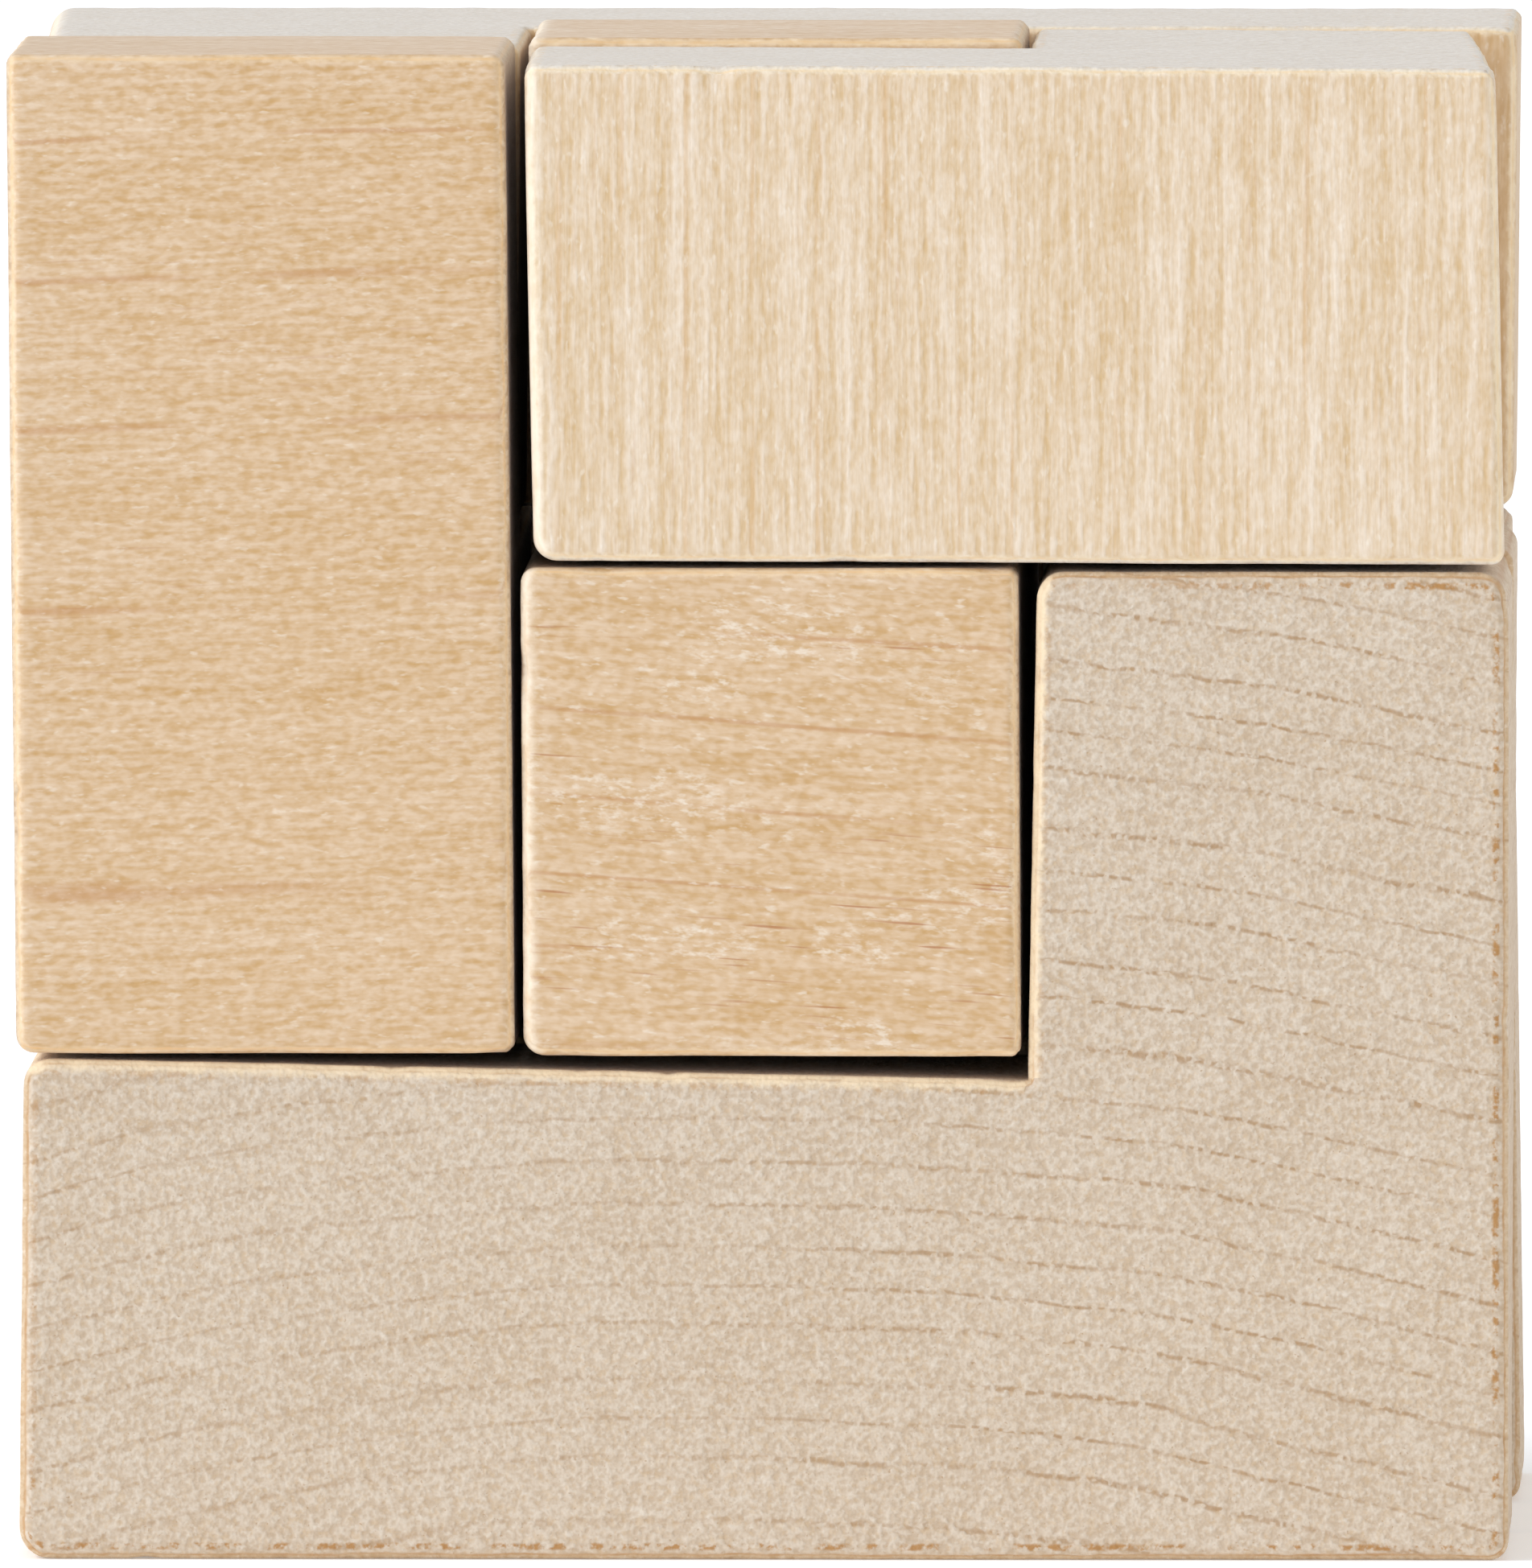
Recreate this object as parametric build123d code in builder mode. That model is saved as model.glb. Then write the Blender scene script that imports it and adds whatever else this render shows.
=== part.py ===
"""Seven-block wooden cube puzzle.

Seven flat blocks, each one cell thick, fill a cube of 3 x 3 x 3 cells. Five are L shapes
of four cells, one is a T of four cells and one is a V of three cells. Nothing holds them
but each other: every block slides straight out, the T once the V has gone.

Each block is an outline milled along the grain of a long bar and sawn off one cell long.
Its outline is the same all through, and its two sawn faces show end grain.

Millimetres, +X right, +Y towards the back, +Z up. The origin is on the surface that the
cube stands on, under the middle of the cube.
"""

import os
from math import cos, radians, sin

from build123d import *

# ---- Driving dimensions ----------------------------------------------------------------
CELL = 20.0  # one cell of the cube
HALF = 1.5 * CELL  # from the middle of the cube to a side
INNER = 0.5 * CELL  # from the middle of the cube to the nearer cell boundaries
TWO = 2 * CELL  # height of the upper cell boundary
ARRIS = 0.45  # rounding of every outer edge

# Thickness of each block along its grain, from saw cut to saw cut.
FRONT_L_THICK = 19.75
MIDDLE_L_THICK = 19.75
BACK_L_THICK = 19.8
SIDE_L_THICK = 20.05
TOP_L_THICK = 19.6
TEE_THICK = 20.0
VEE_THICK = 19.95

# How far saw cuts and milled sides are out of square, in degrees.
SIDE_L_LEAN = 0.57  # sawn faces of the side L, top towards -X
TEE_LEAN = 0.34  # sawn faces of the T, top towards -X
TOP_L_LEAN = 0.6  # milled sides of the top L, top towards +X
VEE_LEAN = 1.07  # milled sides of the V, top towards -X
VEE_FALL = 0.2  # sawn faces of the V, falling towards +X


def sawn_across(x_at_base, lean):
    """Plane of a saw cut that looks along X, with its top leaning towards -X."""
    return Plane(
        (x_at_base, 0, 0),
        x_dir=(0, 1, 0),
        z_dir=(cos(radians(lean)), 0, sin(radians(lean))),
    )


def sawn_level(z_at_middle, fall):
    """Plane of a saw cut that looks up, falling towards +X."""
    return Plane(
        (0, 0, z_at_middle),
        x_dir=(cos(radians(fall)), 0, -sin(radians(fall))),
        z_dir=(sin(radians(fall)), 0, cos(radians(fall))),
    )


def sawn_upright(y_at_back):
    """Plane of a saw cut that looks towards -Y, at the back of its block."""
    return Plane.XZ.offset(-y_at_back)


def upright_grain(lean):
    """Direction of milled sides that stand up and lean towards +X."""
    return (sin(radians(lean)), 0, cos(radians(lean)))


def outer_edges(block):
    """Every edge of a block except the sharp ones inside its notches."""
    return block.edges().filter_by(lambda edge: not edge.is_interior)


# ---- Front L: bar along the front of the bottom layer, arm up at the right ----------------
front_bar_left = 20.15
front_bar_right = 19.3  # the notch is milled 1.2 degrees out of square with the outside
front_notch_x = INNER + 0.73
front_arm_x = INNER + 1.1
front_arm_top = TWO - 0.3

with BuildPart() as front_l:
    with BuildSketch(sawn_upright(-INNER - 0.2)):
        with BuildLine():
            Polyline(
                (-HALF + 0.25, 0),
                (HALF + 0.05, 0),
                (HALF + 0.05, front_arm_top),
                (front_arm_x, front_arm_top),
                (front_notch_x, front_bar_right),
                (-HALF + 0.45, front_bar_left),
                close=True,
            )
        make_face()
    extrude(amount=FRONT_L_THICK)
    fillet(outer_edges(front_l), ARRIS)
front_l.part.label = "front_l_block"

# ---- Middle L: the same outline behind the front L ----------------------------------------
middle_bar_top = CELL - 0.05
middle_arm_top = TWO - 0.2
middle_arm_x = INNER + 0.85

with BuildPart() as middle_l:
    with BuildSketch(sawn_upright(INNER - 0.1)):
        with BuildLine():
            Polyline(
                (-HALF + 0.5, 0),
                (HALF - 0.15, 0),
                (HALF + 0.1, middle_arm_top),
                (middle_arm_x, middle_arm_top),
                (middle_arm_x - 0.05, middle_bar_top),
                (-HALF + 0.6, middle_bar_top),
                close=True,
            )
        make_face()
    extrude(amount=MIDDLE_L_THICK)
    fillet(outer_edges(middle_l), ARRIS)
middle_l.part.label = "middle_l_block"

# ---- Back L: the same outline along the back, its right side leaning out at the foot ------
back_bar_top = CELL - 0.1
back_arm_top = TWO - 0.3
back_arm_x = INNER + 0.8

with BuildPart() as back_l:
    with BuildSketch(sawn_upright(HALF)):
        with BuildLine():
            Polyline(
                (-HALF + 0.4, 0),
                (HALF + 0.25, 0),
                (HALF - 0.25, back_arm_top),
                (back_arm_x, back_arm_top),
                (back_arm_x, back_bar_top),
                (-HALF + 0.35, back_bar_top),
                close=True,
            )
        make_face()
    extrude(amount=BACK_L_THICK)
    fillet(outer_edges(back_l), ARRIS)
back_l.part.label = "back_l_block"

# ---- Side L: long foot along the left of the middle layer, nose up at the front -----------
side_base_x = -HALF + 0.35  # where its left saw cut would meet the table
side_foot_bottom = CELL + 0.3
side_foot_top = TWO + 0.15
side_nose_top = 3 * CELL + 0.45
side_nose_back = -INNER - 0.15

with BuildPart() as side_l:
    with BuildSketch(sawn_across(side_base_x, SIDE_L_LEAN)):
        with BuildLine():
            Polyline(
                (-HALF, side_foot_bottom),
                (HALF - 0.2, side_foot_bottom),
                (HALF - 0.2, side_foot_top),
                (side_nose_back, side_foot_top),
                (side_nose_back, side_nose_top),
                (-HALF, side_nose_top),
                close=True,
            )
        make_face()
    extrude(amount=SIDE_L_THICK, dir=(1, 0, 0))
    fillet(outer_edges(side_l), ARRIS)
side_l.part.label = "side_l_block"

# ---- T: foot from front to back through the middle, stem up to the top face ---------------
tee_base_x = -INNER + 0.62  # where its left saw cut would meet the table
tee_foot_bottom = CELL + 0.2
tee_foot_top = TWO - 0.15
tee_stem_top = 3 * CELL + 0.35
tee_stem_half = INNER - 0.2

with BuildPart() as tee:
    with BuildSketch(sawn_across(tee_base_x, TEE_LEAN)):
        with BuildLine():
            Polyline(
                (-HALF + 0.05, tee_foot_bottom),
                (HALF - 0.15, tee_foot_bottom),
                (HALF - 0.15, tee_foot_top),
                (tee_stem_half, tee_foot_top),
                (tee_stem_half, tee_stem_top),
                (-tee_stem_half, tee_stem_top),
                (-tee_stem_half, tee_foot_top),
                (-HALF + 0.05, tee_foot_top),
                close=True,
            )
        make_face()
    extrude(amount=TEE_THICK, dir=(1, 0, 0))
    fillet(outer_edges(tee), ARRIS)
tee.part.label = "tee_block"

# ---- Top L: bar along the back of the top layer, arm forward at the left ------------------
top_l_bottom = TWO + 0.45
top_left_front = -HALF + 0.4
top_left_back = -HALF - 0.3  # its left side runs out towards the back
top_arm_front = -INNER + 0.2
top_arm_x = -INNER - 0.2
top_bar_front = INNER + 0.15

with BuildPart() as top_l:
    with BuildSketch(Plane.XY.offset(top_l_bottom)):
        with BuildLine():
            Polyline(
                (top_left_front, top_arm_front),
                (top_arm_x, top_arm_front),
                (top_arm_x, top_bar_front),
                (HALF - 0.1, top_bar_front),
                (HALF - 0.1, HALF - 0.1),
                (top_left_back, HALF - 0.1),
                close=True,
            )
        make_face()
    extrude(amount=TOP_L_THICK, dir=upright_grain(TOP_L_LEAN))
    fillet(outer_edges(top_l), ARRIS)
top_l.part.label = "top_l_block"

# ---- V: three cells round the front right corner of the top layer -------------------------
vee_bottom = TWO + 0.06  # height of its lower saw cut over the middle of the cube
vee_side_in = 1.2  # how far its right side runs in towards the back

with BuildPart() as vee:
    with BuildSketch(sawn_level(vee_bottom, VEE_FALL)):
        with BuildLine():
            Polyline(
                (-INNER + 0.9, -HALF),
                (HALF - 0.1, -HALF),
                (HALF - 0.1 - vee_side_in, INNER - 0.3),
                (INNER + 0.78, INNER - 0.3),
                (INNER + 0.85, -INNER - 0.2),
                (-INNER + 0.75, -INNER - 0.2),
                close=True,
            )
        make_face()
    extrude(amount=VEE_THICK, dir=upright_grain(-VEE_LEAN))
    fillet(outer_edges(vee), ARRIS)
vee.part.label = "vee_block"

# ---- One STEP file for each block ---------------------------------------------------------
os.makedirs("parts", exist_ok=True)
for block in (front_l, middle_l, back_l, side_l, tee, top_l, vee):
    export_step(block.part, f"parts/{block.part.label}.step")
    size = block.part.bounding_box().size
    print(f"{block.part.label}: {size.X:.2f} x {size.Y:.2f} x {size.Z:.2f} mm")
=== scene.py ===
"""Looks of the seven-block wooden cube puzzle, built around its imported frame.

Each CAD block is replaced by a finer mesh on the same planes, with its arrises rounded and
worn unevenly. Blocks are cut from bars, so each has two sawn faces, across its grain, and
milled sides along it. Metres, +X right, +Y towards the back, +Z up. Materials are drawn in
millimetres.
"""

import math

import bpy
import numpy as np
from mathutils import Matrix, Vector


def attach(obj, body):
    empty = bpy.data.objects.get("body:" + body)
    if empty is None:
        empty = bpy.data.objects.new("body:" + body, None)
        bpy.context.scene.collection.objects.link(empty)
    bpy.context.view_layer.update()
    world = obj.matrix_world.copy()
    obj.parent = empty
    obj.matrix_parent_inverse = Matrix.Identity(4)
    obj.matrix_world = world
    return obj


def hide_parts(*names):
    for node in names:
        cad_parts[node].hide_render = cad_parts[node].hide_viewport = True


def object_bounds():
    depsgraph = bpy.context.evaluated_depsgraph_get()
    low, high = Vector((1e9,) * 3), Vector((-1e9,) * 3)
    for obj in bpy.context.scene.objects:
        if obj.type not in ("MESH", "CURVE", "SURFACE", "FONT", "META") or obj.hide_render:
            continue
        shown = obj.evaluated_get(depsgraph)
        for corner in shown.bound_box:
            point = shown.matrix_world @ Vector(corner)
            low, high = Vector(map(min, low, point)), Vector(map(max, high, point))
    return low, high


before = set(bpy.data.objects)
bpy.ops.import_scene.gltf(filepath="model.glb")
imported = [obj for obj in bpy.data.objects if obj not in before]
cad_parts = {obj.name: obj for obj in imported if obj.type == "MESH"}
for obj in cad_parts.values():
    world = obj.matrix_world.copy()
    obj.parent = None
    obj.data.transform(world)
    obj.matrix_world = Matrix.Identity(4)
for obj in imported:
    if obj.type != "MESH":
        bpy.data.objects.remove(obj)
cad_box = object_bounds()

MM = 0.001
CELL = 20 * MM
X, Y, Z = 0, 1, 2

# ---- The blocks ---------------------------------------------------------------------------
# Cells are counted from the front left bottom corner. A side is named by its cell boundary, an
# axis and a number from 0 to 3, and an edge by the two sides that meet there. "ragged" is how
# deep torn fibres go at the arrises, in millimetres. "round" gives edges that are rounder than
# the rest, with their radius in millimetres. The last list gives the sides facing the key light,
# up or to the left; a painted highlight, drawn as pale standing fibres, lies round their arrises.
BLOCKS = {
    "front_l": {
        "cells": [(0, 0, 0), (1, 0, 0), (2, 0, 0), (2, 0, 1)],
        "grain": Y,
        "slot": "grey_end_grain",
        "ragged": 0.055,
        "round": {
            ((X, 0), (Z, 0)): 1.05,
            ((X, 0), (Z, 1)): 1.1,
            ((X, 3), (Z, 0)): 0.8,
            ((X, 2), (Z, 2)): 1.1,
            ((X, 3), (Z, 2)): 1.3,
        },
        "highlit_sides": [(Z, 1), (X, 2)],
    },
    "middle_l": {
        "cells": [(0, 1, 0), (1, 1, 0), (2, 1, 0), (2, 1, 1)],
        "grain": Y,
        "slot": "grey_end_grain",
        "ragged": 0.055,
        "round": {((X, 3), (Z, 2)): 0.8},
        "highlit_sides": [(Z, 1)],
    },
    "back_l": {
        "cells": [(0, 2, 0), (1, 2, 0), (2, 2, 0), (2, 2, 1)],
        "grain": Y,
        "slot": "grey_end_grain",
        "ragged": 0.055,
        "round": {((X, 3), (Z, 0)): 0.8, ((X, 0), (Z, 0)): 0.7},
        "highlit_sides": [(X, 0)],
    },
    "side_l": {
        "cells": [(0, 0, 1), (0, 1, 1), (0, 2, 1), (0, 0, 2)],
        "grain": X,
        "slot": "tan_long_grain",
        "ragged": 0.028,
        "round": {((X, 0), (Z, 1)): 0.75},
        "highlit_sides": [(X, 0)],
    },
    "top_l": {
        "cells": [(0, 1, 2), (0, 2, 2), (1, 2, 2), (2, 2, 2)],
        "grain": Z,
        "slot": "pale_long_grain",
        "ragged": 0.035,
        "round": {((X, 0), (Z, 3)): 1.0, ((X, 3), (Z, 2)): 0.8},
        "highlit_sides": [(X, 0)],
    },
    "tee": {
        "cells": [(1, 0, 1), (1, 1, 1), (1, 2, 1), (1, 1, 2)],
        "grain": X,
        "slot": "tan_long_grain",
        "ragged": 0.028,
        "round": {((X, 1), (Z, 1)): 0.9, ((X, 1), (Z, 2)): 0.65},
        "highlit_sides": [(X, 1)],
    },
    "vee": {
        "cells": [(1, 0, 2), (2, 0, 2), (2, 1, 2)],
        "grain": Z,
        "slot": "pale_long_grain",
        "ragged": 0.035,
        "round": {((X, 1), (Z, 2)): 0.95, ((X, 3), (Z, 2)): 0.6},
        "highlit_sides": [(X, 1)],
    },
}
ARRIS = 0.45 * MM  # rounding of an ordinary edge
RIM = 1.2 * MM  # how far in from an edge its wear may reach
FINE_STEP = 0.11 * MM  # between grid lines at an edge
WIDE_STEP = 0.36 * MM  # between grid lines in the middle of a face
STEP_GROWTH = 1.16  # from one step to the next
SAME = 1e-7  # closer than this is the same place
NEAR_BOUNDARY = 0.12 * CELL  # how far a real face may be from its cell boundary
SQUARE_ON = 0.998  # least part of a face's normal along its own axis
CORNER_PULL = math.sqrt(2) - 1  # extra pull, in radii, where two faces meet at an arris
SMOOTH_BELOW = math.radians(55)  # sharper turns of the mesh are shaded as edges
CHIPS = 26  # dents on each block
CHIP_SIZE = (0.25, 0.8)  # in millimetres
CHIP_DEPTH = (0.05, 0.16)  # in millimetres
HOLLOW = 0.012 * MM  # unevenness of the faces, either way
FIBRES = 0.012 * MM  # height of single fibres, either way
KNOCKED = 0.03 * MM  # wear all along the arrises, either way
RELIEF = 0.06 * MM  # height of the finest grain, which is left to bump


# ---- Noise for the meshes -------------------------------------------------------------------
def lattice_values(corners, seed):
    """A number between -1 and 1 for each whole-numbered lattice corner, fixed by the seed."""
    mixed = corners[:, 0] * 73856093 ^ corners[:, 1] * 19349663 ^ corners[:, 2] * 83492791
    mixed = (mixed ^ seed * 2654435761) & 0xFFFFFFFF
    mixed = (mixed ^ mixed >> 15) * 2246822519 & 0xFFFFFFFF
    mixed = (mixed ^ mixed >> 13) * 3266489917 & 0xFFFFFFFF
    return ((mixed ^ mixed >> 16) & 0xFFFF) / 32767.5 - 1


def noise(points, feature, seed):
    """Smooth noise between -1 and 1 at each point, with features of the given size."""
    scaled = points / feature
    base = np.floor(scaled).astype(np.int64)
    part = scaled - base
    part = part * part * (3 - 2 * part)
    total = np.zeros(len(points))
    for corner in np.ndindex(2, 2, 2):
        weight = np.prod(np.where(corner, part, 1 - part), axis=1)
        total += weight * lattice_values(base + corner, seed)
    return total


# ---- Block shapes -----------------------------------------------------------------------------
def boundary_place(axis, boundary):
    """Where a cell boundary is in a perfect cube."""
    return boundary * CELL if axis == Z else (boundary - 1.5) * CELL


def real_boundaries(cells, axis):
    """The boundaries along an axis where the block has a face."""
    found = set()
    for cell in cells:
        for side in (0, 1):
            beyond = list(cell)
            beyond[axis] += 2 * side - 1
            if tuple(beyond) not in cells:
                found.add(cell[axis] + side)
    return sorted(found)


def cad_planes(node):
    """Normal, place along the normal, middle and area of each CAD triangle of a node."""
    mesh = node.data
    mesh.calc_loop_triangles()
    count = len(mesh.loop_triangles)
    corners = np.empty(count * 3, np.int32)
    mesh.loop_triangles.foreach_get("vertices", corners)
    places = np.empty(len(mesh.vertices) * 3)
    mesh.vertices.foreach_get("co", places)
    points = places.reshape(-1, 3)[corners].reshape(-1, 3, 3)
    cross = np.cross(points[:, 1] - points[:, 0], points[:, 2] - points[:, 0])
    area = np.linalg.norm(cross, axis=1)
    normal = cross / np.maximum(area, 1e-15)[:, None]
    return normal, (normal * points[:, 0]).sum(1), points.mean(1), area


def face_plane(planes, axis, boundary):
    """Normal and place of the CAD face that lies near a cell boundary."""
    normal, place, middle, area = planes
    near = abs(middle[:, axis] - boundary_place(axis, boundary)) < NEAR_BOUNDARY
    square_on = abs(normal[:, axis]) > SQUARE_ON
    best = np.argmax(np.where(near & square_on, area, 0))
    return normal[best], place[best]


def stations(knots):
    """Grid lines from the first knot to the last, close together at each knot."""
    lines = [knots[0]]
    for low, high in zip(knots, knots[1:]):
        half = (high - low) / 2
        steps = [0.0]
        step = FINE_STEP
        while steps[-1] < half:
            steps.append(steps[-1] + step)
            step = min(step * STEP_GROWTH, WIDE_STEP)
        reach = np.array(steps) * half / steps[-1]
        lines.extend(low + reach[1:])
        lines.extend(high - reach[-2::-1])
    return np.array(lines)


def crooked(square, knots, faces):
    """Moves points of the perfect cube onto the block's own, slightly crooked, planes."""
    place = square.copy()
    for _ in range(4):
        moved = np.empty_like(place)
        for axis in (X, Y, Z):
            others = [other for other in (X, Y, Z) if other != axis]
            levels = []
            for normal, offset in faces[axis]:
                levels.append((offset - place[:, others] @ normal[others]) / normal[axis])
            levels = np.array(levels)
            marks = np.array(knots[axis])
            span = np.clip(np.searchsorted(marks, square[:, axis], "right") - 1, 0, len(marks) - 2)
            share = (square[:, axis] - marks[span]) / (marks[span + 1] - marks[span])
            rows = np.arange(len(square))
            moved[:, axis] = (1 - share) * levels[span, rows] + share * levels[span + 1, rows]
        place = moved
    return place


class Block:
    """The surface of one block as a welded grid, before its arrises are rounded."""

    def __init__(self, name, spec):
        self.cells = set(spec["cells"])
        self.grain = spec["grain"]
        planes = cad_planes(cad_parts[name + "_block"])
        self.numbers = [real_boundaries(self.cells, axis) for axis in (X, Y, Z)]
        self.knots = [[boundary_place(a, n) for n in self.numbers[a]] for a in (X, Y, Z)]
        self.faces = [[face_plane(planes, a, n) for n in self.numbers[a]] for a in (X, Y, Z)]
        self.lines = [stations(self.knots[axis]) for axis in (X, Y, Z)]
        self.patches = self.find_patches()
        self.square, self.quads = self.weld()
        self.place = crooked(self.square, self.knots, self.faces)

    def full(self, box):
        """True if a box between boundaries, given by its three lower indices, is wood."""
        if any(i < 0 or i > len(self.numbers[a]) - 2 for a, i in enumerate(box)):
            return False
        return tuple(self.numbers[a][i] for a, i in enumerate(box)) in self.cells

    def find_patches(self):
        """Each rectangle of surface as (axis, side, box)."""
        boxes = np.ndindex(*[len(numbers) - 1 for numbers in self.numbers])
        patches = []
        for box in boxes:
            for axis in (X, Y, Z):
                for side in (-1, 1):
                    beyond = list(box)
                    beyond[axis] += side
                    if self.full(box) and not self.full(beyond):
                        patches.append((axis, side, box))
        return patches

    def weld(self):
        """Grid points in the perfect cube, and the quads over them."""
        sizes = [len(lines) for lines in self.lines]
        marks = []
        for lines, knots in zip(self.lines, self.knots):
            marks.append(np.searchsorted(lines, np.array(knots) - SAME))
        quads = []
        for axis, side, box in self.patches:
            b, c = (axis + 1) % 3, (axis + 2) % 3
            index = [None] * 3
            index[axis] = marks[axis][box[axis] + (side > 0)]
            rows = np.arange(marks[b][box[b]], marks[b][box[b] + 1] + 1)
            columns = np.arange(marks[c][box[c]], marks[c][box[c] + 1] + 1)
            index[b], index[c] = np.meshgrid(rows, columns, indexing="ij")
            key = (index[0] * sizes[1] + index[1]) * sizes[2] + index[2]
            ring = [key[:-1, :-1], key[1:, :-1], key[1:, 1:], key[:-1, 1:]]
            if side < 0:
                ring.reverse()
            quads.append(np.stack(ring, -1).reshape(-1, 4))
        keys, flat = np.unique(np.concatenate(quads), return_inverse=True)
        i, rest = np.divmod(keys, sizes[1] * sizes[2])
        j, k = np.divmod(rest, sizes[2])
        square = np.stack([self.lines[X][i], self.lines[Y][j], self.lines[Z][k]], 1)
        return square, flat.reshape(-1, 4)

    def notches(self):
        """Each inside corner as (axes, corner, side of the notch along both axes)."""
        a, b = [axis for axis in (X, Y, Z) if axis != self.grain]
        found = []
        for i in range(1, len(self.knots[a]) - 1):
            for j in range(1, len(self.knots[b]) - 1):
                empty = []
                for di in (-1, 0):
                    for dj in (-1, 0):
                        box = [0, 0, 0]
                        box[a], box[b] = i + di, j + dj
                        if not self.full(box):
                            empty.append((2 * di + 1, 2 * dj + 1))
                if len(empty) == 1:
                    found.append(((a, b), (self.knots[a][i], self.knots[b][j]), empty[0]))
        return found

    def open_ends(self, axis, level, other, ends):
        """Which ends of a face, along another axis, stop at an inside corner."""
        stops = [False, False]
        for axes, corner, _ in self.notches():
            if axis in axes and other in axes and abs(level - corner[axes.index(axis)]) < SAME:
                for number, end in enumerate(ends):
                    stops[number] |= abs(end - corner[axes.index(other)]) < SAME
        return stops

    def depths(self):
        """For each face, how deep each point is under it, or infinity away from it."""
        covered = {}
        for axis, side, box in self.patches:
            number = box[axis] + (side > 0)
            inside = np.ones(len(self.square), bool)
            for other in (X, Y, Z):
                if other != axis:
                    ends = self.knots[other][box[other] : box[other] + 2]
                    stops = self.open_ends(axis, self.knots[axis][number], other, ends)
                    low, high = [SAME if stop else -SAME for stop in stops]
                    inside &= self.square[:, other] > ends[0] + low
                    inside &= self.square[:, other] < ends[1] - high
            face = (axis, side, number)
            covered[face] = covered.get(face, False) | inside
        found = {}
        for (axis, side, number), inside in covered.items():
            depth = side * (self.knots[axis][number] - self.square[:, axis])
            boundary = self.numbers[axis][number]
            found[axis, boundary] = side, np.where(inside & (depth > -SAME), depth, np.inf)
        return found

    def round_off(self, radius, rounder):
        """Rounds every outside edge.

        Returns the new places, the way out of the wood, how far each point is round an
        arris, the same for the rounder edges, and how squarely it faces along the grain.
        The last three run from 0 to 1.
        """
        depths = self.depths()
        place = self.place.copy()
        pull = np.zeros_like(place)
        for (axis, _), (side, depth) in depths.items():
            pull[:, axis] += side * np.maximum(radius - depth, 0)
        for (a, b), corner, void in self.notches():
            # In the wood behind an inside corner the pull points straight at the corner.
            away = np.stack([corner[0] - self.square[:, a], corner[1] - self.square[:, b]], 1)
            behind = (away * void > -SAME).all(1)
            gap = np.linalg.norm(away, axis=1)
            here = gap < SAME
            away[here] = np.array(void) / math.sqrt(2)
            away[~here] /= gap[~here, None]
            share = np.where(behind, np.maximum(radius - gap, 0), 0)
            pull[:, a] += share * away[:, 0]
            pull[:, b] += share * away[:, 1]
        rounding = np.zeros(len(place))
        for faces, size in rounder.items():
            # Square rings of the grid round a rounder edge are first bent into arcs.
            size = size * MM
            near = np.all([depths[face][1] < size for face in faces], axis=0)
            out = np.stack([size - depths[face][1][near] for face in faces], 1)
            reach = np.maximum(np.linalg.norm(out, axis=1), SAME)
            ring = out.max(1)
            share = np.maximum(radius[near] - size + ring, 0)
            for column, face in enumerate(faces):
                side, depth = depths[face]
                step = out[:, column]
                place[near, face[0]] += side * step * (ring / reach - 1)
                before = np.maximum(radius[near] - depth[near], 0)
                pull[near, face[0]] += side * (share * step / reach - before)
            turn = (reach / ring - 1) / CORNER_PULL * share / radius[near]
            rounding[near] = np.maximum(rounding[near], turn)
        strength = np.maximum(np.linalg.norm(pull, axis=1), SAME)
        outward = pull / strength[:, None]
        sharpness = np.clip((strength / radius - 1) / CORNER_PULL, 0, 1)
        place += outward * radius[:, None] - pull
        return place, outward, np.sqrt(sharpness), np.sqrt(rounding), outward[:, self.grain] ** 2

    def rim(self, reach, sides=None):
        """How near each point is to an outside edge, from 0 to 1, or only to those of some sides."""
        depths = self.depths()
        gap = np.sort(np.stack([depth for _, depth in depths.values()]), axis=0)[1]
        if sides:
            gap = np.maximum(gap, np.min([depths[side][1] for side in sides], axis=0))
        return np.clip(1 - gap / reach, 0, 1)


def arris_radius(block, seed):
    """Rounding radius at each point, uneven along the arrises."""
    uneven = 0.2 * noise(block.square, 5 * MM, seed) + 0.12 * noise(block.square, 1.3 * MM, seed + 1)
    return ARRIS * (1 + uneven)


def chips(block, sharpness, seed):
    """Depth of small dents and knocks along the arrises, longer along the grain."""
    rng = np.random.default_rng(seed)
    depth = np.zeros(len(block.square))
    stretch = np.ones(3)
    stretch[block.grain] = 0.45
    candidates = np.flatnonzero(sharpness > 0.9)
    for spot in rng.choice(candidates, CHIPS, replace=False):
        size = rng.uniform(*CHIP_SIZE) * MM
        gap = np.linalg.norm((block.place - block.place[spot]) * stretch, axis=1) / size
        depth += rng.uniform(*CHIP_DEPTH) * MM * np.exp(-gap * gap * 2)
    return depth


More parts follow.
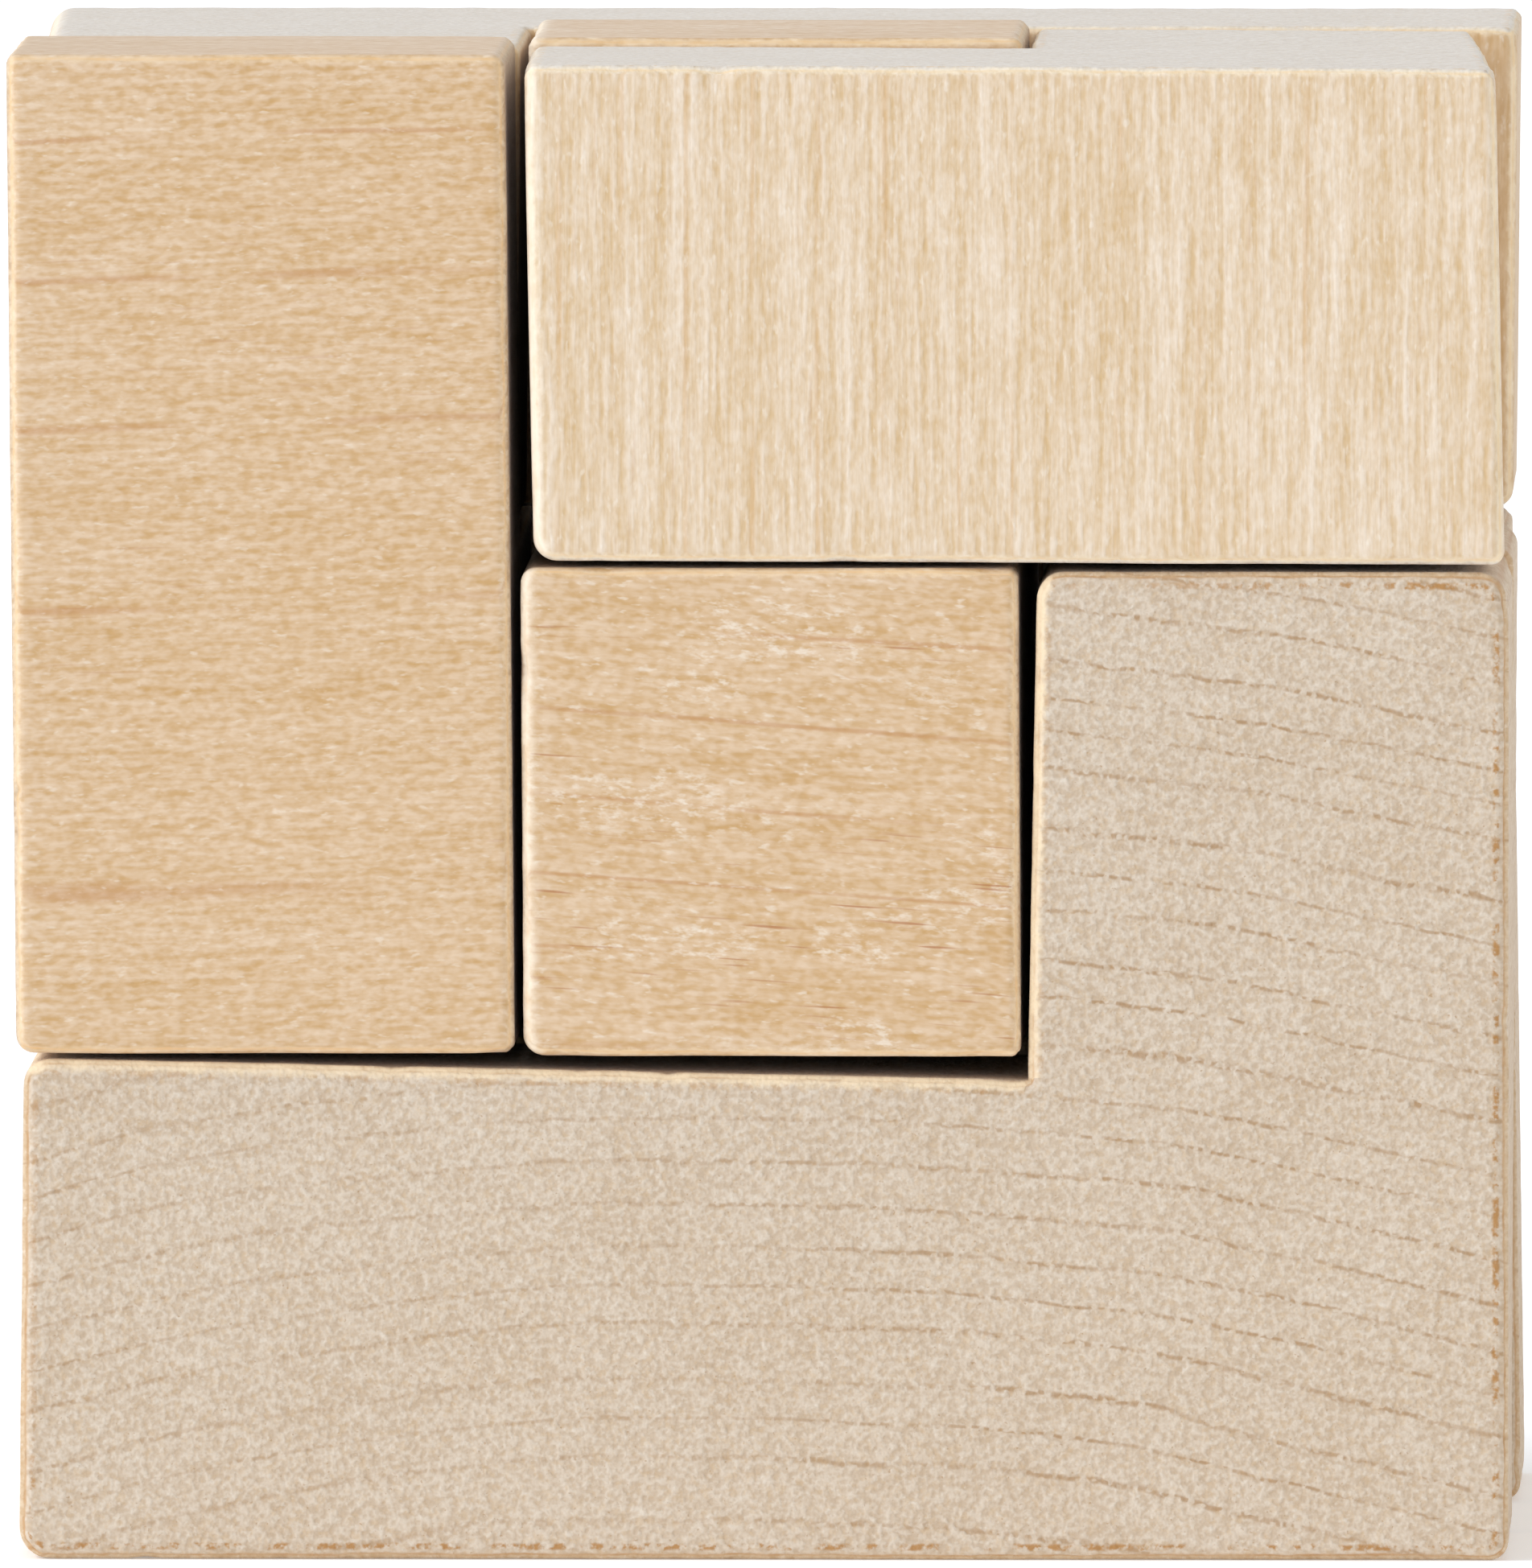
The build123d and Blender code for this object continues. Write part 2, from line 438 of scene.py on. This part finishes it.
def shape_block(name, spec, seed):
    """Rounds and wears the block, and returns its Blender object with its wear attributes."""
    block = Block(name, spec)
    radius = arris_radius(block, seed)
    rounded, outward, sharpness, rounding, sawn = block.round_off(radius, spec["round"])

    along = np.ones(3)
    along[block.grain] = 0.25
    hollow = HOLLOW * (1 + noise(block.place, 9 * MM, seed + 2))
    fibres = FIBRES * (1 + noise(block.place * along, 0.8 * MM, seed + 6))
    edge = np.sin(sharpness * math.pi / 2) ** 2
    ragged = spec["ragged"] * MM * (1 + noise(block.place * along, 0.4 * MM, seed + 3)) * edge
    knocked = KNOCKED * (1 + noise(block.place, 2.2 * MM, seed + 4)) * edge
    wear = hollow + fibres + ragged + knocked + chips(block, sharpness, seed + 5)
    places = rounded - outward * wear[:, None]

    mesh = bpy.data.meshes.new(name + "_wood")
    mesh.from_pydata(places, [], block.quads.tolist())
    mesh.validate()
    marks = {
        "sawn": sawn,
        "arris": np.maximum(sharpness, rounding),
        "rim": block.rim(RIM),
        # painted highlight: pale rims round the sides that face the key light
        "painted_highlight": block.rim(RIM, spec["highlit_sides"]),
    }
    for attribute, values in marks.items():
        layer = mesh.attributes.new(attribute, "FLOAT", "POINT")
        layer.data.foreach_set("value", values.astype(np.float32))
    mesh.polygons.foreach_set("use_smooth", np.ones(len(mesh.polygons), bool))
    mesh.set_sharp_from_angle(angle=SMOOTH_BELOW)
    piece = bpy.data.objects.new(name + "_wood", mesh)
    bpy.context.scene.collection.objects.link(piece)
    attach(piece, name)
    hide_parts(name + "_block")
    return piece


# ---- Wood ----------------------------------------------------------------------------------
def tint(red, green, blue):
    """A colour given as it shows on a screen, 0 to 255, as the shader's own numbers."""
    return tuple(((part / 255 + 0.055) / 1.055) ** 2.4 for part in (red, green, blue))


class Nodes:
    """Short calls that add shader nodes to one material."""

    def __init__(self, name):
        self.material = bpy.data.materials.new(name)
        self.material.use_nodes = True
        self.tree = self.material.node_tree
        self.tree.nodes.clear()

    def feed(self, value, socket):
        """Links a socket to another socket, or sets its value."""
        if isinstance(value, bpy.types.NodeSocket):
            self.tree.links.new(value, socket)
        elif value is not None:
            socket.default_value = value

    def add(self, kind, **settings):
        node = self.tree.nodes.new(kind)
        for key, value in settings.items():
            setattr(node, key, value)
        return node

    def math(self, operation, a, b=None, c=None):
        node = self.add("ShaderNodeMath", operation=operation)
        for value, socket in zip((a, b, c), node.inputs):
            self.feed(value, socket)
        return node.outputs[0]

    def times(self, *factors):
        product = factors[0]
        for factor in factors[1:]:
            product = self.math("MULTIPLY", product, factor)
        return product

    def position(self):
        """The point on the block in millimetres, at rest, as three sockets."""
        place = self.add("ShaderNodeTexCoord").outputs["Object"]
        scale = self.add("ShaderNodeVectorMath", operation="SCALE")
        self.feed(place, scale.inputs[0])
        scale.inputs["Scale"].default_value = 1 / MM
        split = self.add("ShaderNodeSeparateXYZ")
        self.feed(scale.outputs[0], split.inputs[0])
        return list(split.outputs)

    def vector(self, x, y, z):
        node = self.add("ShaderNodeCombineXYZ")
        for value, socket in zip((x, y, z), node.inputs):
            self.feed(value, socket)
        return node.outputs[0]

    def noise(self, vector, size, detail=2.0, roughness=0.5):
        """Noise from 0 to 1 with features of about the given size in millimetres."""
        node = self.add("ShaderNodeTexNoise", noise_dimensions="3D")
        self.feed(vector, node.inputs["Vector"])
        node.inputs["Scale"].default_value = 1 / size
        node.inputs["Detail"].default_value = detail
        node.inputs["Roughness"].default_value = roughness
        return node.outputs[0]

    def spread(self, value, low, high, start=0.0, end=1.0):
        """Maps low..high onto start..end, with a soft start and end, and no overshoot."""
        node = self.add("ShaderNodeMapRange", interpolation_type="SMOOTHSTEP")
        for number, socket in zip((value, low, high, start, end), node.inputs):
            self.feed(number, socket)
        return node.outputs[0]

    def attribute(self, name):
        return self.add("ShaderNodeAttribute", attribute_name=name).outputs["Fac"]

    def mix(self, share, a, b):
        """Colour a, with b laid over it as far as share says."""
        node = self.add("ShaderNodeMix", data_type="RGBA")
        self.feed(share, node.inputs[0])
        colours = [socket for socket in node.inputs if socket.type == "RGBA"]
        for value, socket in zip((a, b), colours):
            self.feed((*value, 1) if isinstance(value, tuple) else value, socket)
        return [socket for socket in node.outputs if socket.type == "RGBA"][0]


class Wood:
    """Solid wood: every pattern is drawn out along the grain and cut by the faces."""

    def __init__(self, name, grain, look):
        self.make = Nodes(name)
        self.look = look
        place = self.make.position()
        self.w = place[grain]
        self.u, across = [place[axis] for axis in (X, Y, Z) if axis != grain]
        self.v = self.make.math("MULTIPLY_ADD", self.w, look["slant"], across)
        self.reach = self.pith_reach()

    def along(self, stretch, shift=0.0):
        """A point whose third part runs slowly along the grain."""
        shift += self.look["seed"] * 13.7
        return self.make.vector(self.u, self.v, self.make.math("MULTIPLY_ADD", self.w, stretch, shift))

    def pith_reach(self):
        """Distance from the pith, a little wavy, with wide and narrow years."""
        make, look = self.make, self.look
        across = make.math("SUBTRACT", self.u, look["pith"][0])
        up = make.math("SUBTRACT", self.v, look["pith"][1])
        reach = make.math("SQRT", make.math("ADD", make.times(across, across), make.times(up, up)))
        swell = make.noise(make.vector(reach, 0.0, 0.0), 4.5, 0.0)
        reach = make.math("MULTIPLY_ADD", swell, 2.6, reach)
        sway = make.noise(self.along(0.2), 11.0, 1.0)
        reach = make.math("MULTIPLY_ADD", sway, look["sway"], reach)
        jitter = make.noise(self.along(0.12, 4.0), 1.1, 1.0)
        return make.math("MULTIPLY_ADD", jitter, look["jitter"], reach)

    def ring_lines(self, width):
        """Thin lines, 1 in the middle, where each year's growth ends."""
        make, gap = self.make, self.look["ring_gap"]
        part = make.math("FRACT", make.math("DIVIDE", self.reach, gap))
        off = make.times(make.math("ABSOLUTE", make.math("SUBTRACT", part, 0.5)), gap)
        return make.spread(off, width * 0.15, width, 1.0, 0.0)

    def milled(self):
        """Colour of the sides: short and long fibres, ring lines, fuzz and dark vessels."""
        make, look = self.make, self.look
        grit = make.noise(self.along(0.55, 2.0), 0.27, 1.0, 0.5)
        short = make.noise(self.along(look["short_stretch"]), 0.25, 2.0, 0.5)
        long = make.noise(self.along(look["long_stretch"], 5.0), 0.34, 2.0, 0.5)
        soft = make.noise(self.along(0.07, 8.0), 1.2, 2.0, 0.5)
        cloud = make.noise(self.along(0.3, 9.0), 8.0, 1.0)
        tone = make.times(make.spread(grit, 0.3, 0.7), look["grit"])
        tone = make.math("MULTIPLY_ADD", make.spread(short, 0.34, 0.66), look["short"], tone)
        tone = make.math("MULTIPLY_ADD", make.spread(long, 0.36, 0.64), look["long"], tone)
        tone = make.math("MULTIPLY_ADD", make.spread(soft, 0.35, 0.65), look["soft"], tone)
        tone = make.math("MULTIPLY_ADD", make.spread(cloud, 0.35, 0.65), look["cloud"], tone)
        colour = make.mix(tone, look["milled"][1], look["milled"][0])
        fade = make.spread(make.noise(self.along(0.15, 23.0), 2.0, 2.0), 0.42, 0.6)
        lines = make.times(self.ring_lines(look["line_width"]), fade, look["line"])
        colour = make.mix(lines, colour, look["line_tint"])
        specks = make.spread(make.noise(self.along(0.4, 27.0), 0.28, 2.0, 0.6), 0.58, 0.74)
        colour = make.mix(make.times(specks, look["specks"]), colour, look["fuzz_tint"])
        where = make.spread(make.noise(self.along(0.5, 40.0), 3.6, 2.0), 0.5, 0.62)
        hair = make.spread(make.noise(self.along(0.45, 17.0), 0.4, 3.0, 0.7), 0.49, 0.7)
        colour = make.mix(make.times(where, hair, look["fuzz"]), colour, look["fuzz_tint"])
        few = make.spread(make.noise(self.along(0.3, 44.0), 4.0, 1.0), 0.45, 0.6)
        vessel = make.spread(make.noise(self.along(0.05, 31.0), 0.18, 1.0), 0.66, 0.78)
        colour = make.mix(make.times(vessel, few, look["vessel"]), colour, look["vessel_tint"])
        self.side_height = make.math("MULTIPLY_ADD", long, 0.5, make.math("ADD", short, grit))
        return colour

    def sawn(self):
        """Colour of the saw cuts: grit, warm and light flecks, dotted ring lines and pores."""
        make, look = self.make, self.look
        point = self.along(0.8, 2.0)
        grit = make.noise(point, 0.24, 1.0, 0.5)
        clump = make.noise(point, 0.55, 1.0)
        cloud = make.noise(point, 5.0, 1.0)
        tone = make.times(make.spread(grit, 0.3, 0.7), 0.68)
        tone = make.math("MULTIPLY_ADD", make.spread(clump, 0.32, 0.68), 0.2, tone)
        tone = make.math("MULTIPLY_ADD", make.spread(cloud, 0.3, 0.7), 0.12, tone)
        colour = make.mix(tone, look["sawn"][1], look["sawn"][0])
        warm = make.spread(make.noise(self.along(0.8, 12.0), 0.33, 2.0, 0.6), 0.5, 0.7)
        colour = make.mix(make.times(warm, 0.35), colour, look["warm_tint"])
        light = make.spread(make.noise(self.along(0.8, 21.0), 0.3, 2.0, 0.6), 0.56, 0.72)
        colour = make.mix(make.times(light, 0.35), colour, look["light_tint"])
        side = make.math("ABSOLUTE", make.math("SUBTRACT", self.u, look["calm"]))
        strong = make.spread(side, 2.0, 30.0, 0.55, 1.0)
        dashes = make.spread(make.noise(self.along(0.8, 33.0), 3.0, 2.0), 0.34, 0.6, 0.5, 1.0)
        beads = make.spread(make.noise(self.along(0.8, 37.0), 0.24, 0.0), 0.4, 0.58, 0.1, 1.0)
        rings = make.times(self.ring_lines(look["ring_width"]), dashes, beads, strong, look["ring"])
        colour = make.mix(rings, colour, look["ring_tint"])
        pores = make.spread(make.noise(self.along(0.3, 3.0), 0.17, 1.0), 0.7, 0.82)
        colour = make.mix(make.times(pores, 0.5), colour, look["ring_tint"])
        self.sawn_height = make.math("MULTIPLY_ADD", grit, 1.3, clump)
        return colour

    def worn(self, colour, face):
        """Arrises: rubbed pale (wear and painted highlight), golden on the turn, a painted highlight
        where they face the key light, and beaded brown round saw cuts.
        """
        make, look = self.make, self.look
        patch = make.noise(self.along(1.0, 50.0), 1.3, 3.0, 0.6)
        fringe = make.noise(self.along(1.0, 55.0), 0.4, 3.0, 0.6)
        fringe = make.math("SUBTRACT", fringe, 0.5)
        patchy = make.spread(patch, 0.32, 0.6, 0.5, 1.0)

        # Rims rubbed pale: partly real wear, partly a painted highlight for the light the arrises catch.
        rim = make.math("MULTIPLY_ADD", fringe, 0.45, make.attribute("rim"))
        rubbed_and_lit = make.times(make.spread(rim, 0.64, 0.9), patchy, look["rub_and_highlight"])
        colour = make.mix(rubbed_and_lit, colour, look["rub_and_highlight_tint"])

        arris = make.math("MULTIPLY_ADD", fringe, 0.5, make.attribute("arris"))
        turn = make.times(make.spread(arris, 0.6, 0.95), make.spread(patch, 0.35, 0.6, 1.0, 0.5))
        colour = make.mix(make.times(turn, look["gild"]), colour, look["gild_tint"])

        # Painted highlight: the arrises round the sides facing the key light, up and to the left, are
        # laid pale like standing fibres.
        painted_highlight = make.math("MULTIPLY_ADD", fringe, 0.5, make.attribute("painted_highlight"))
        painted_highlight = make.times(make.spread(painted_highlight, *look["painted_highlight_reach"]), patchy, look["painted_highlight"])
        colour = make.mix(painted_highlight, colour, look["painted_highlight_tint"])

        # Beads lie just inside the arris. On the bottom blocks most are at the right and the foot.
        bead = make.noise(self.along(1.0, 60.0), 0.5, 3.0, 0.6)
        bead = make.spread(make.math("MULTIPLY_ADD", self.ring_lines(0.4), 0.05, bead), 0.49, 0.64)
        rim = make.math("MULTIPLY_ADD", fringe, 0.16, make.attribute("rim"))
        band = make.times(make.spread(rim, 0.38, 0.5), make.spread(rim, 0.6, 0.72, 1.0, 0.0))
        side = make.math("MAXIMUM", make.spread(self.u, 12.0, 28.0), make.spread(self.v, 6.0, 1.0))
        share = make.math("MULTIPLY_ADD", side, 0.6, 0.4)
        return make.mix(make.times(band, bead, face, share, look["burn"]), colour, look["burn_tint"])

    def finish(self):
        """Puts the colours, the relief and the roughness together."""
        make, look = self.make, self.look
        face = make.spread(make.attribute("sawn"), 0.35, 0.7)
        colour = self.worn(make.mix(face, self.milled(), self.sawn()), face)
        milled_height = make.times(self.side_height, make.math("SUBTRACT", 1.0, face))
        bump = make.add("ShaderNodeBump")
        bump.inputs["Strength"].default_value = look["bump"]
        bump.inputs["Distance"].default_value = RELIEF
        make.feed(make.math("MULTIPLY_ADD", self.sawn_height, face, milled_height), bump.inputs["Height"])
        rough = make.spread(self.side_height, 0.9, 1.6, 0.8, 0.6)
        shader = make.add("ShaderNodeBsdfPrincipled")
        make.feed(colour, shader.inputs["Base Color"])
        make.feed(make.math("MAXIMUM", rough, make.times(face, 0.85)), shader.inputs["Roughness"])
        make.feed(bump.outputs[0], shader.inputs["Normal"])
        shader.inputs["IOR"].default_value = 1.45
        shader.inputs["Sheen Weight"].default_value = look["sheen"]
        shader.inputs["Sheen Roughness"].default_value = 0.45
        shader.inputs["Sheen Tint"].default_value = (0.93, 0.96, 1.0, 1)
        output = make.add("ShaderNodeOutputMaterial")
        make.feed(shader.outputs[0], output.inputs["Surface"])
        return make.material


# "milled" and "sawn" are a light and a dark colour. "pith" is where the tree's middle would be
# and "calm" where the rings show least. These two, the ring gap, both widths, "sway" and
# "jitter" are in millimetres. "slant" is how much the rings run off the grain. The stretches
# are how fast the fibres change along the grain, as a share of how fast they change across it.
# The reach of the painted highlight is the span of its mark over which it comes in. The rest
# say how strongly each pattern shows.
TAN = {
    "milled": (tint(229, 203, 173), tint(202, 161, 105)),
    "sawn": (tint(214, 190, 160), tint(184, 150, 112)),
    "line_tint": tint(190, 134, 78),
    "fuzz_tint": tint(243, 230, 212),
    "vessel_tint": tint(176, 112, 66),
    "ring_tint": tint(160, 116, 72),
    "warm_tint": tint(205, 166, 118),
    "light_tint": tint(232, 218, 196),
    # rubbed rims: partly wear, partly painted highlight
    "rub_and_highlight_tint": tint(250, 226, 188),
    # painted highlight round the sides facing the key light
    "painted_highlight_tint": tint(254, 242, 222),
    "painted_highlight_reach": (0.3, 0.9),
    "gild_tint": tint(240, 194, 132),
    "burn_tint": tint(200, 146, 88),
    "slant": 0.0,
    "ring_gap": 1.75,
    "ring_width": 0.16,
    "line_width": 0.07,
    "calm": 0.0,
    "sway": 0.5,
    "jitter": 0.1,
    "short_stretch": 0.18,
    "long_stretch": 0.045,
    "grit": 0.42,
    "short": 0.3,
    "long": 0.16,
    "soft": 0.12,
    "cloud": 0.06,
    "line": 0.5,
    "specks": 0.4,
    "ring": 0.6,
    "fuzz": 0.2,
    "vessel": 0.2,
    "rub_and_highlight": 0.6,
    "painted_highlight": 0.7,
    "gild": 0.5,
    "burn": 0.5,
    "bump": 0.7,
    "sheen": 0.2,
}
CREAM = dict(
    TAN,
    milled=(tint(238, 221, 200), tint(211, 178, 129)),
    sawn=(tint(233, 224, 212), tint(212, 199, 182)),
    line_tint=tint(212, 168, 112),
    fuzz_tint=tint(250, 241, 228),
    ring_tint=tint(184, 158, 126),
    warm_tint=tint(218, 196, 162),
    light_tint=tint(238, 232, 222),
    rub_and_highlight_tint=tint(252, 236, 206),
    gild_tint=tint(244, 208, 152),
    burn_tint=tint(226, 184, 124),
    short_stretch=0.11,
    long_stretch=0.03,
    grit=0.26,
    short=0.34,
    long=0.26,
    soft=0.18,
    cloud=0.06,
    line=0.35,
    line_width=0.1,
    specks=0.35,
    fuzz=0.15,
    vessel=0.12,
    ring=0.4,
)
GREY = dict(
    TAN,
    milled=(tint(222, 199, 168), tint(196, 162, 120)),
    sawn=(tint(222, 207, 188), tint(197, 174, 147)),
    line_tint=tint(168, 124, 80),
    ring_tint=tint(166, 126, 80),
    warm_tint=tint(208, 178, 138),
    light_tint=tint(234, 225, 211),
    rub_and_highlight_tint=tint(212, 182, 144),
    painted_highlight_tint=tint(248, 226, 190),
    painted_highlight_reach=(0.45, 0.8),
    gild_tint=tint(192, 146, 96),
    burn_tint=tint(180, 130, 70),
    ring_width=0.15,
    sway=0.9,
    jitter=0.3,
    ring=0.68,
    rub_and_highlight=0.3,
    painted_highlight=0.8,
    gild=0.8,
    burn=0.9,
    bump=1.0,
)
WOODS = {
    "front_l": dict(GREY, seed=1, pith=(-1.4, -100.0), calm=-14.0),
    "middle_l": dict(GREY, seed=2, pith=(30.0, -80.0)),
    "back_l": dict(GREY, seed=3, pith=(-40.0, -90.0)),
    "side_l": dict(TAN, seed=4, pith=(60.0, 20.0), slant=-0.03, rub_and_highlight=0.4, painted_highlight=0.12),
    "top_l": dict(
        CREAM,
        milled=(tint(228, 202, 168), tint(203, 164, 112)),
        seed=5,
        pith=(20.0, -90.0),
    ),
    "tee": dict(TAN, seed=6, pith=(70.0, 90.0), slant=0.07, vessel=0.7, fuzz=0.7, specks=0.5),
    "vee": dict(CREAM, seed=7, pith=(-60.0, 40.0)),
}


# ---- Studio ----------------------------------------------------------------------------------
def make_floor():
    """A wide pale floor, level with the underside of the puzzle."""
    half = 6.0
    mesh = bpy.data.meshes.new("floor")
    corners = [(-half, -half, 0), (half, -half, 0), (half, half, 0), (-half, half, 0)]
    mesh.from_pydata(corners, [], [(0, 1, 2, 3)])
    floor = bpy.data.objects.new("floor", mesh)
    bpy.context.scene.collection.objects.link(floor)
    make = Nodes("pale_floor")
    shader = make.add("ShaderNodeBsdfPrincipled")
    shader.inputs["Base Color"].default_value = (0.93, 0.93, 0.93, 1)
    shader.inputs["Roughness"].default_value = 0.9
    shader.inputs["Specular IOR Level"].default_value = 0.2
    shader.inputs["Emission Color"].default_value = (1, 1, 1, 1)
    shader.inputs["Emission Strength"].default_value = 0.2  # lit a little from below
    output = make.add("ShaderNodeOutputMaterial")
    make.feed(shader.outputs[0], output.inputs["Surface"])
    mesh.materials.append(make.material)


def make_light():
    """A white light tent, brightest low down, with a soft key from the upper left."""
    world = bpy.data.worlds.new("tent")
    world.use_nodes = True
    tree = world.node_tree
    back = tree.nodes["Background"]
    back.inputs["Color"].default_value = (0.97, 0.985, 1.0, 1)
    where = tree.nodes.new("ShaderNodeTexCoord")
    height = tree.nodes.new("ShaderNodeSeparateXYZ")
    fade = tree.nodes.new("ShaderNodeMapRange")
    tree.links.new(where.outputs["Generated"], height.inputs[0])
    tree.links.new(height.outputs["Z"], fade.inputs["Value"])
    for name, value in (("From Min", 0.08), ("From Max", 0.6), ("To Min", 1.03), ("To Max", 0.62)):
        fade.inputs[name].default_value = value
    tree.links.new(fade.outputs[0], back.inputs["Strength"])
    bpy.context.scene.world = world
    key = bpy.data.lights.new("key", "SUN")
    key.energy = 1.7
    key.color = (0.95, 1.0, 1.1)
    key.angle = math.radians(35)
    lamp = bpy.data.objects.new("key", key)
    towards = Vector((0.8, 0.25, -0.55))
    lamp.rotation_mode = "QUATERNION"
    lamp.rotation_quaternion = towards.to_track_quat("-Z", "Y")
    bpy.context.scene.collection.objects.link(lamp)


def make_camera():
    """A long lens a little above and to the right of square-on to the front face."""
    low, high = cad_box
    azimuth = math.radians(1.05)
    elevation = math.radians(2.83)
    distance = 2.85
    frame_height = 62.87 * MM
    aim_right = 0.28 * MM  # from the middle of the front
    aim_up = 31.18 * MM  # from its foot
    target = Vector(((low.x + high.x) / 2 + aim_right, low.y, low.z + aim_up))
    back = Vector((
        math.sin(azimuth) * math.cos(elevation),
        -math.cos(azimuth) * math.cos(elevation),
        math.sin(elevation),
    ))
    data = bpy.data.cameras.new("camera")
    data.sensor_width = 36.0
    data.lens = data.sensor_width * distance / frame_height
    data.clip_start = 0.1
    data.clip_end = 20.0
    camera = bpy.data.objects.new("camera", data)
    camera.location = target + back * distance
    camera.rotation_mode = "QUATERNION"
    camera.rotation_quaternion = (-back).to_track_quat("-Z", "Y")
    bpy.context.scene.collection.objects.link(camera)
    bpy.context.scene.camera = camera


make_camera()
make_floor()
make_light()
for number, (name, spec) in enumerate(BLOCKS.items()):
    piece = shape_block(name, spec, 100 * number + 7)
    piece.data.materials.append(Wood(name + "_wood", spec["grain"], WOODS[name]).finish())
bpy.context.scene.view_settings.view_transform = "Standard"
